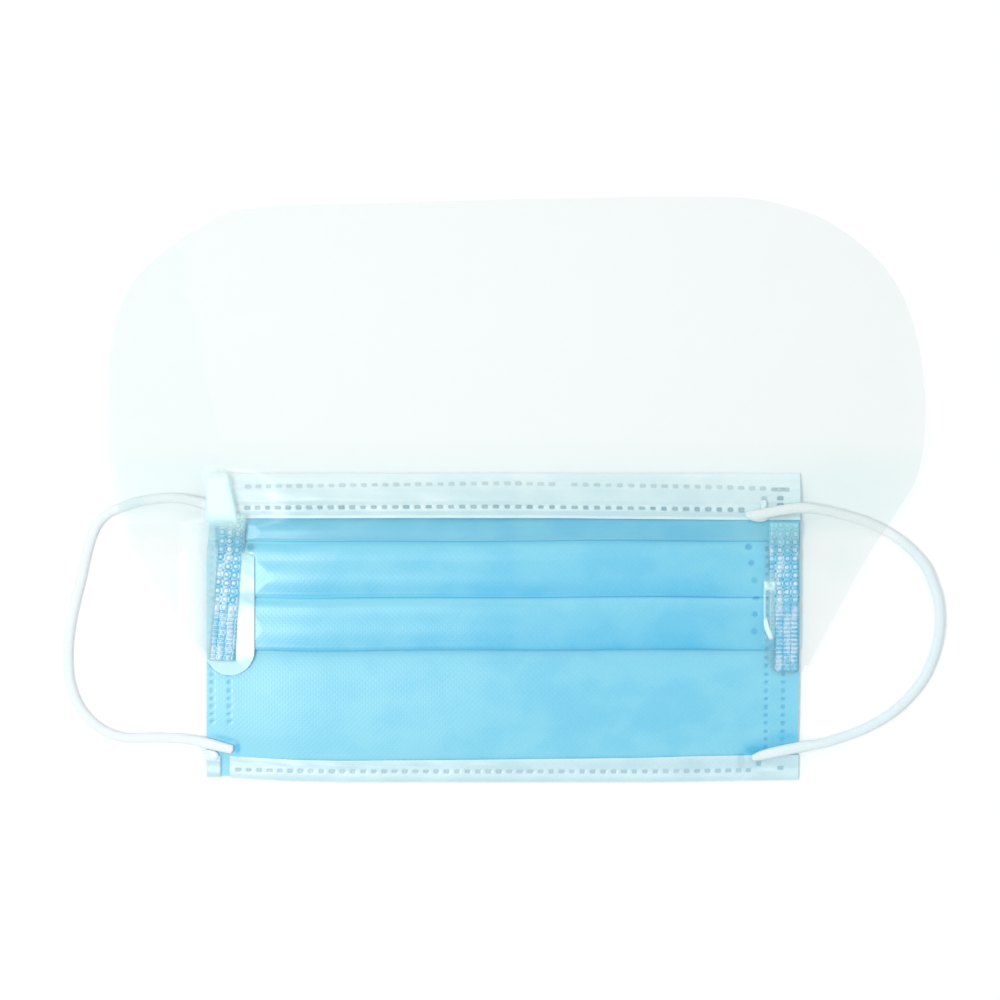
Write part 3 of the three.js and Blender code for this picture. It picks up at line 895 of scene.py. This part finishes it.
bpy.ops.object.select_all(action="DESELECT")
bpy.ops.mesh.primitive_circle_add(vertices=len(film_outline), radius=1.0, fill_type="NGON")
film = bpy.context.object
film.name = film.data.name = "film_sheet"
circle = np.array([vertex.co[:2] for vertex in film.data.vertices])
angle = np.mod(np.arctan2(circle[:, 1], circle[:, 0]), 2 * math.pi)
number = np.argsort(np.argsort(-angle))
set_places(film, np.column_stack([film_outline[number], np.zeros(len(film_outline))]))
bpy.ops.object.mode_set(mode="EDIT")
for place, normal in cut_planes:
    bpy.ops.mesh.select_all(action="SELECT")
    bpy.ops.mesh.bisect(plane_co=Vector(place) * MM, plane_no=normal, threshold=1e-7)
bpy.ops.object.mode_set(mode="OBJECT")
print("cuts:", len(cut_planes), "vertices:", len(film.data.vertices))

# %% Bend the film
flat = np.array([vertex.co[:2] for vertex in film.data.vertices]) / MM
film_x, film_y = flat[:, 0], flat[:, 1]
height = drape(film_y) + FILM_WALL / 2 + film_relief(film_x, film_y)
set_places(film, np.column_stack([flat, height]))
painted_glare_and_white = np.maximum.reduce([corner_painted_glare(film_x, film_y), left_leg_painted_glare(film_x, film_y),
                           right_leg_painted_white(film_x, film_y)])
set_shade(film, "painted_film_shade", film_painted_shade(film_x, film_y))
set_shade(film, "painted_glare_and_white", painted_glare_and_white)
set_shade(film, "cool", film_coolness(film_x, film_y, painted_glare_and_white))
film.data.materials.append(bpy.data.materials.new("clear film"))
thicken(film, FILM_WALL)
to_outside(film)
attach(film, "root")
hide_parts("visor_film")
print("film faces:", len(film.data.polygons))

# %% [markdown]
# ## The weld fields
# Each leg is welded to the side of the mask by a field of small pressed rings. There the film and
# the cloth are one glossy, rough patch. It is a close grid that follows the film, and it stands a
# hair out of the film on both sides. Further down, the rings give way to a ladder of bars.

# %% The pattern of a weld field
PITCH_U, PITCH_V = 2.28, 2.45
RING_RADIUS, CORE_RADIUS = 0.8, 0.45


def rings_and_bars(u, v, width, bars_from):
    """How deep the groove is at each place, and how far the core of each cell stands up."""
    uneven = np.random.default_rng(11)
    shares = uneven.uniform(0.25, 1.0, (2, 8, 30))
    shifts = uneven.uniform(-0.16, 0.16, (2, 8, 30))
    cells = (np.floor_divide(u + width / 2, PITCH_U).astype(int),
             np.floor_divide(v, PITCH_V).astype(int))
    cell_u = np.mod(u + width / 2, PITCH_U) - PITCH_U / 2
    cell_v = np.mod(v, PITCH_V) - PITCH_V / 2
    reach = np.hypot(cell_u - shifts[0][cells], cell_v - shifts[1][cells])
    ring = np.exp(-((reach - RING_RADIUS) / 0.24) ** 2) * (0.4 + 0.6 * shares[0][cells])
    corner = np.hypot(PITCH_U / 2 - np.abs(cell_u), PITCH_V / 2 - np.abs(cell_v))
    ring = np.maximum(ring, 0.9 * np.exp(-(corner / 0.5) ** 2))
    core = np.exp(-(reach / CORE_RADIUS) ** 2) * shares[1][cells]
    half_v = np.mod(v, PITCH_V / 2) - PITCH_V / 4
    rail = np.exp(-((np.abs(cell_u) - PITCH_U / 2) / 0.26) ** 2)
    rung = np.exp(-(half_v / 0.2) ** 2) * smoothstep((0.95 - np.abs(cell_u)) / 0.3)
    bars = smoothstep((v - bars_from) / 8) * (0.35 + 0.65 * shares[1][cells])
    groove = ring * (1 - bars) + np.maximum(0.85 * rail, 0.55 * (1 - rung)) * bars
    return groove, core * (1 - bars) + 0.8 * rung * bars * shares[0][cells]


print("cells of a weld field in mm:", PITCH_U, "x", PITCH_V)

# %% [markdown]
# The column of cells nearest the left edge can be worn from some way down, and at its lower end
# the field is nearly gone, so the cloth shows through it.

# %% Press the weld fields
FIELD_STEP = 0.18
FIELD_WALL = 0.4
FIELD_SINK, FIELD_STAND = 0.62, 0.52  # how far its rim lies under the film's drape, and its rise
GROOVE_DEPTH, CORE_HEIGHT = 0.2, 0.06
GONE_FROM = 33.0  # from this far down, a worn column is nearly gone


def weld_field(name, top, bottom, width, bars_from, worn_from):
    """A field between two points of its middle line, each given as x and y."""
    start, end = np.array(top), np.array(bottom)
    length = np.linalg.norm(end - start)
    ahead = (end - start) / length
    side = np.array([-ahead[1], ahead[0]])
    across = np.linspace(-width / 2, width / 2, round(width / FIELD_STEP) + 1)
    along = np.linspace(0, length, round(length / FIELD_STEP) + 1)
    field, column, row = add_grid(name, len(across), len(along))
    u, v = across[column], along[row]
    places = start + u[:, None] * side + v[:, None] * ahead
    groove, core = rings_and_bars(u, v, width, bars_from)
    rim = smoothstep((width / 2 - np.abs(u)) / 0.8) * smoothstep(v / 0.8) * smoothstep((length - v) / 0.8)
    lift = (FIELD_STAND - GROOVE_DEPTH * groove + CORE_HEIGHT * core) * rim
    set_places(field, np.column_stack([places, drape(places[:, 1]) + lift - FIELD_SINK]))
    worn = smoothstep((v - worn_from) / 2.0) * smoothstep((PITCH_U - width / 2 - u) / 0.4)
    fresh = smoothstep((v - 1.0) / 9.0) * (1 - worn)
    gone = 0.9 * worn * smoothstep((v - GONE_FROM) / 2.0)
    set_uv(field, u, v)
    set_shade(field, "weld", groove * (0.35 + 0.65 * fresh) * rim)
    set_shade(field, "core", core * rim)
    set_shade(field, "fresh", fresh)
    set_shade(field, "solid", rim * (0.55 + 0.45 * fresh) * (1 - gone))
    field.data.materials.append(bpy.data.materials.new(name + " finish"))
    thicken(field, FIELD_WALL)
    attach(field, "root")
    print(name, "faces:", len(field.data.polygons))
    return field


left_field = weld_field("weld_field_left", (-82.7, -6.8), (-86.5, -51.0), width=8.0,
                        bars_from=24.0, worn_from=90.0)
right_field = weld_field("weld_field_right", (79.3, -9.4), (79.1, -54.0), width=9.2,
                         bars_from=20.0, worn_from=14.0)

# %% [markdown]
# ## Finishes
# Every finish is a small tree of nodes on one shader. A helper starts the tree, and others add the
# two kinds of pattern that nonwoven cloth has: embossed dots in a diamond lattice, and fine fibres.
# Both read the UV map, whose unit is a millimetre of cloth.

# %% Helpers for finishes
def srgb(red, green, blue):
    def linear(value):
        value /= 255
        return value / 12.92 if value <= 0.04045 else ((value + 0.055) / 1.055) ** 2.4
    return (linear(red), linear(green), linear(blue), 1.0)


class Finish:
    """A material's node tree with short ways to add and join nodes."""

    def __init__(self, material):
        material.use_nodes = True
        self.tree = material.node_tree
        self.shader = next(n for n in self.tree.nodes if n.type == "BSDF_PRINCIPLED")
        self.output = next(n for n in self.tree.nodes if n.type == "OUTPUT_MATERIAL")

    def node(self, kind, **settings):
        node = self.tree.nodes.new(kind)
        for name, value in settings.items():
            setattr(node, name, value)
        return node

    def join(self, source, target):
        self.tree.links.new(source, target)

    def attribute(self, name):
        return self.node("ShaderNodeAttribute", attribute_name=name).outputs["Fac"]

    def coordinates(self, scale, turn=0.0):
        uv = self.node("ShaderNodeTexCoord").outputs["UV"]
        mapping = self.node("ShaderNodeMapping")
        mapping.inputs["Rotation"].default_value = (0, 0, turn)
        mapping.inputs["Scale"].default_value = scale
        self.join(uv, mapping.inputs["Vector"])
        return mapping.outputs["Vector"]

    def dots(self, spacing, radius):
        """1 in each dot of a diamond lattice, 0 between them."""
        lattice = self.node("ShaderNodeTexVoronoi", voronoi_dimensions="2D")
        lattice.inputs["Scale"].default_value = 1.0
        lattice.inputs["Randomness"].default_value = 0.0
        self.join(self.coordinates((1 / spacing, 1 / spacing, 1), math.pi / 4), lattice.inputs["Vector"])
        return self.ramp(lattice.outputs["Distance"], radius / spacing, radius / spacing * 0.4, 0.0, 1.0)

    def noise(self, scale, detail=3.0, turn=0.0):
        noise = self.node("ShaderNodeTexNoise", noise_dimensions="2D")
        noise.inputs["Scale"].default_value = 1.0
        noise.inputs["Detail"].default_value = detail
        self.join(self.coordinates(scale, turn), noise.inputs["Vector"])
        return noise.outputs["Fac"]

    def ramp(self, value, low, high, to_low, to_high):
        ramp = self.node("ShaderNodeMapRange", interpolation_type="SMOOTHSTEP")
        sockets = ("From Min", "From Max", "To Min", "To Max")
        for socket, number in zip(sockets, (low, high, to_low, to_high)):
            ramp.inputs[socket].default_value = number
        self.join(value, ramp.inputs["Value"])
        return ramp.outputs["Result"]

    def sum(self, first, second, operation="ADD"):
        node = self.node("ShaderNodeMath", operation=operation)
        for value, socket in ((first, node.inputs[0]), (second, node.inputs[1])):
            if isinstance(value, (int, float)):
                socket.default_value = value
            else:
                self.join(value, socket)
        return node.outputs[0]

    def blend(self, share, first, second):
        mix = self.node("ShaderNodeMix", data_type="RGBA")
        for value, socket in ((share, mix.inputs[0]), (first, mix.inputs[6]), (second, mix.inputs[7])):
            if isinstance(value, (tuple, float)):
                socket.default_value = value
            else:
                self.join(value, socket)
        return mix.outputs[2]

    def show_through(self, share, see_through):
        """Mixes the shader with a transparent one; a share of 1 is the shader alone."""
        choose = self.node("ShaderNodeMixShader")
        self.join(share, choose.inputs["Fac"])
        self.join(see_through.outputs["BSDF"], choose.inputs[1])
        self.join(self.shader.outputs["BSDF"], choose.inputs[2])
        self.join(choose.outputs["Shader"], self.output.inputs["Surface"])

    def bump(self, height, distance, strength=1.0):
        bump = self.node("ShaderNodeBump")
        bump.inputs["Strength"].default_value = strength
        bump.inputs["Distance"].default_value = distance * MM
        self.join(height, bump.inputs["Height"])
        self.join(bump.outputs["Normal"], self.shader.inputs["Normal"])


print("finish helpers ready")

# %% [markdown]
# The blue outer ply is a matte spun cloth. It is a little lighter where it is thin and a little deeper
# where layers lie on each other and in each embossed dot, and it takes the painted shade stored on each
# piece. Two more colours lie over the pale and the deep one: a bright one, painted light right under a
# fold, and a dark one where a weld has melted the cloth. Only the panel stores such a painted glow, and a
# piece without it reads 0. The white hems and the inner ply are the same cloth without the dye.

# %% Nonwoven finishes
DOT_SPACING, DOT_RADIUS = 1.15, 0.4
BUMP_HEIGHT = 0.009


def nonwoven(material, pale, deep, welded, painted_glow_colour):
    """Depth runs from pale to deep, with painted shade in it; the painted glow and the welds are blended
    over it.
    """
    finish = Finish(material)
    dots = finish.dots(DOT_SPACING, DOT_RADIUS)
    fibres = finish.sum(finish.noise((3.4, 0.5, 1), 4.0, 0.5), finish.noise((0.5, 3.4, 1), 4.0, 0.2))
    clouds = finish.sum(finish.noise((0.045, 0.06, 1), 1.0), finish.noise((0.1, 0.13, 1), 1.0))
    depth = finish.ramp(clouds, 0.7, 1.3, -0.05, 0.19)
    depth = finish.sum(depth, finish.ramp(fibres, 0.7, 1.3, -0.06, 0.08))
    depth = finish.sum(depth, finish.sum(finish.attribute("layers_and_painted_shade"), 0.9, "MULTIPLY"))
    depth = finish.sum(depth, finish.sum(dots, 0.07, "MULTIPLY"))
    colour = finish.blend(depth, pale, deep)
    colour = finish.blend(finish.attribute("painted_glow"), colour, painted_glow_colour)
    colour = finish.blend(finish.attribute("weld"), colour, welded)
    finish.join(colour, finish.shader.inputs["Base Color"])
    finish.shader.inputs["Roughness"].default_value = 0.34
    finish.shader.inputs["Specular IOR Level"].default_value = 0.8
    height = finish.sum(finish.sum(fibres, 0.35, "MULTIPLY"), dots, "SUBTRACT")
    finish.bump(height, BUMP_HEIGHT)


PURE_WHITE = srgb(255, 255, 255)
BLUE = [srgb(130, 209, 230), srgb(72, 183, 224), srgb(62, 160, 208), srgb(156, 235, 253)]
WHITE = [srgb(241, 251, 253), srgb(204, 229, 236), srgb(120, 162, 178), PURE_WHITE]
LOWER_WHITE = [srgb(213, 240, 244), srgb(178, 212, 222), srgb(140, 180, 194), PURE_WHITE]
nonwoven(bpy.data.materials["outer ply"], *BLUE)
nonwoven(bpy.data.materials["inner ply"], *WHITE)
nonwoven(top_hem.data.materials[0], *WHITE)
for hem in (bottom_hem, hem_stub):
    nonwoven(hem.data.materials[0], *LOWER_WHITE)
print("nonwoven finishes made")

# %% [markdown]
# The elastic is matte and white. Its stitches run in slanting rows, which a wave on the unrolled tube
# gives as a fine bump. The painted light stored on the loops blends its colour to a pure white. The
# melted lumps store none, so they keep the colour of the knitting.

# %% Elastic finish
elastic = bpy.data.materials.new("white elastic")
finish = Finish(elastic)
stitches = finish.node("ShaderNodeTexWave", wave_type="BANDS", bands_direction="DIAGONAL")
stitches.inputs["Scale"].default_value = 0.45
stitches.inputs["Distortion"].default_value = 0.6
finish.join(finish.coordinates((2.2, 2.8, 1)), stitches.inputs["Vector"])
fuzz = finish.noise((2.5, 2.5, 1), 4.0)
thread = finish.sum(stitches.outputs["Fac"], finish.sum(fuzz, 0.6, "MULTIPLY"))
knitted = finish.blend(finish.ramp(thread, 0.2, 1.3, 0.0, 1.0), srgb(222, 242, 246), srgb(240, 252, 254))
finish.join(finish.blend(finish.attribute("painted_loop_light"), knitted, PURE_WHITE),
            finish.shader.inputs["Base Color"])
finish.shader.inputs["Roughness"].default_value = 0.8
finish.shader.inputs["Sheen Weight"].default_value = 0.45
finish.bump(thread, 0.08)
for piece in [tube for tube, middle in loops.values()] + lumps:
    piece.data.materials.append(elastic)
print("elastic finish made")

# %% [markdown]
# The film is a clear sheet, so most of the light goes straight through it, faintly tinted, and its gloss
# lies on top. Seen straight on, a twenty-fifth of the light is gloss; where the film bends away there is
# more. Its curls are where a lamp shows up as glare. The tint is deeper where the film carries painted
# shade. Where the film is painted white, mostly as painted glare, it is no longer clear: the veil over
# the cloth grows thicker, and the gloss turns matte.

# %% Film finish
CLEAR_VEIL, WHITE_VEIL = 0.04, 0.94
HARDLY_WHITE = 0.04  # from this much painted white on, the film is matte


def clear_film(material):
    finish = Finish(material)
    see_through = finish.node("ShaderNodeBsdfTransparent")
    # the see-through tint is deeper where the film carries painted shade
    tint = finish.blend(finish.attribute("painted_film_shade"), (0.975, 0.985, 0.98, 1.0), (0.945, 0.978, 0.976, 1.0))
    finish.join(tint, see_through.inputs["Color"])
    facing = finish.node("ShaderNodeLayerWeight").outputs["Facing"]
    gloss = finish.sum(finish.sum(facing, 4.0, "POWER"), 0.8, "MULTIPLY")
    painted_glare_and_white = finish.attribute("painted_glare_and_white")
    veil = finish.ramp(painted_glare_and_white, 0.0, 0.5, CLEAR_VEIL, WHITE_VEIL)
    colour = finish.blend(finish.attribute("cool"), PURE_WHITE, srgb(210, 250, 253))
    metallic = finish.ramp(painted_glare_and_white, 0.0, HARDLY_WHITE, 1.0, 0.0)
    roughness = finish.ramp(painted_glare_and_white, 0.0, HARDLY_WHITE, 0.08, 0.9)
    finish.join(colour, finish.shader.inputs["Base Color"])
    finish.join(metallic, finish.shader.inputs["Metallic"])
    finish.join(roughness, finish.shader.inputs["Roughness"])
    finish.show_through(finish.sum(gloss, veil), see_through)


clear_film(bpy.data.materials["clear film"])
print("film finish made")

# %% [markdown]
# In the weld fields the cloth's blue shows through the melted film, darkest in the rings and bars. The
# raised cores are painted pale, as painted highlights of the glossy film on them. The top of each field
# is fainter than the rest, and so is the worn column, whose lower end lets the cloth under it show.

# %% Weld field finish
def melted_film(field, faint, core_glint_colour):
    """Faint is the colour where the pattern fades out; the glint colour is the painted highlight on the
    raised cores.
    """
    finish = Finish(field.data.materials[0])
    patches = finish.ramp(finish.noise((0.3, 0.2, 1), 3.0), 0.42, 0.64, 0.0, 0.8)
    specks = finish.ramp(finish.noise((1.6, 1.6, 1), 3.0), 0.48, 0.7, 0.0, 0.7)
    base = finish.blend(patches, srgb(124, 202, 228), srgb(204, 232, 243))
    base = finish.blend(finish.attribute("fresh"), faint, base)
    grooved = finish.blend(finish.attribute("weld"), base, srgb(46, 136, 184))
    # painted highlight on the raised cores
    cored = finish.blend(finish.attribute("core"), grooved, core_glint_colour)
    finish.join(finish.blend(specks, cored, base), finish.shader.inputs["Base Color"])
    finish.shader.inputs["Roughness"].default_value = 0.3
    finish.shader.inputs["Coat Weight"].default_value = 0.25
    finish.shader.inputs["Coat Roughness"].default_value = 0.15
    see_through = finish.node("ShaderNodeBsdfTransparent")
    finish.show_through(finish.attribute("solid"), see_through)


melted_film(left_field, srgb(212, 253, 255), srgb(236, 249, 252))
melted_film(right_field, srgb(176, 242, 254), srgb(214, 236, 246))
print("weld field finish made")

# %% [markdown]
# The nose wire keeps its own plain solid, because it lies hidden in the hem. It gets the finish of
# white plastic coating, with the faint grain of its extrusion.

# %% Wire finish
wire_finish = bpy.data.materials.new("coated wire")
finish = Finish(wire_finish)
grain = finish.node("ShaderNodeTexNoise")
grain.inputs["Scale"].default_value = 900.0
finish.join(finish.node("ShaderNodeTexCoord").outputs["Object"], grain.inputs["Vector"])
finish.join(finish.blend(grain.outputs["Fac"], srgb(224, 234, 232), srgb(240, 245, 244)),
            finish.shader.inputs["Base Color"])
finish.shader.inputs["Roughness"].default_value = 0.45
wire = bpy.data.objects["nose_wire"]
wire.data.materials.clear()
wire.data.materials.append(wire_finish)
print("wire finish made")

# %% [markdown]
# ## Floor and light
# The object lies on a plain white surface in soft, bright light, with the main light on the left.
# The floor is lit until it is pure white, and the shadows on it are soft and pale.

# %% Floor
bpy.ops.object.select_all(action="DESELECT")
bpy.ops.mesh.primitive_plane_add(size=6.0, location=(0, 0, 0))
floor = bpy.context.object
floor.name = floor.data.name = "floor"
floor_finish = bpy.data.materials.new("white paper")
finish = Finish(floor_finish)
finish.shader.inputs["Base Color"].default_value = (0.97, 0.97, 0.97, 1.0)
finish.shader.inputs["Roughness"].default_value = 0.9
finish.shader.inputs["Specular IOR Level"].default_value = 0.1
floor.data.materials.append(floor_finish)
print("floor placed")

# %% Light
def area_light(name, place, size, power):
    data = bpy.data.lights.new(name, "AREA")
    data.shape = "SQUARE"
    data.size = size
    data.energy = power
    lamp = bpy.data.objects.new(name, data)
    lamp.location = place
    lamp.rotation_euler = (-Vector(place)).to_track_quat("-Z", "Y").to_euler()
    bpy.context.collection.objects.link(lamp)


area_light("key_left", (-0.36, -0.07, 0.95), 0.22, 3.6)
area_light("soft_top", (0.15, 0.9, 0.9), 0.8, 1.0)
world = bpy.data.worlds.new("white room")
world.use_nodes = True
world.node_tree.nodes["Background"].inputs["Color"].default_value = (0.97, 0.99, 1.0, 1.0)
world.node_tree.nodes["Background"].inputs["Strength"].default_value = 0.76
bpy.context.scene.world = world
bpy.context.scene.view_settings.view_transform = "Standard"
print("lights placed")

# %% [markdown]
# ## Close
# The last cell only prints that the script has run.

# %% Finish
print("script finished")
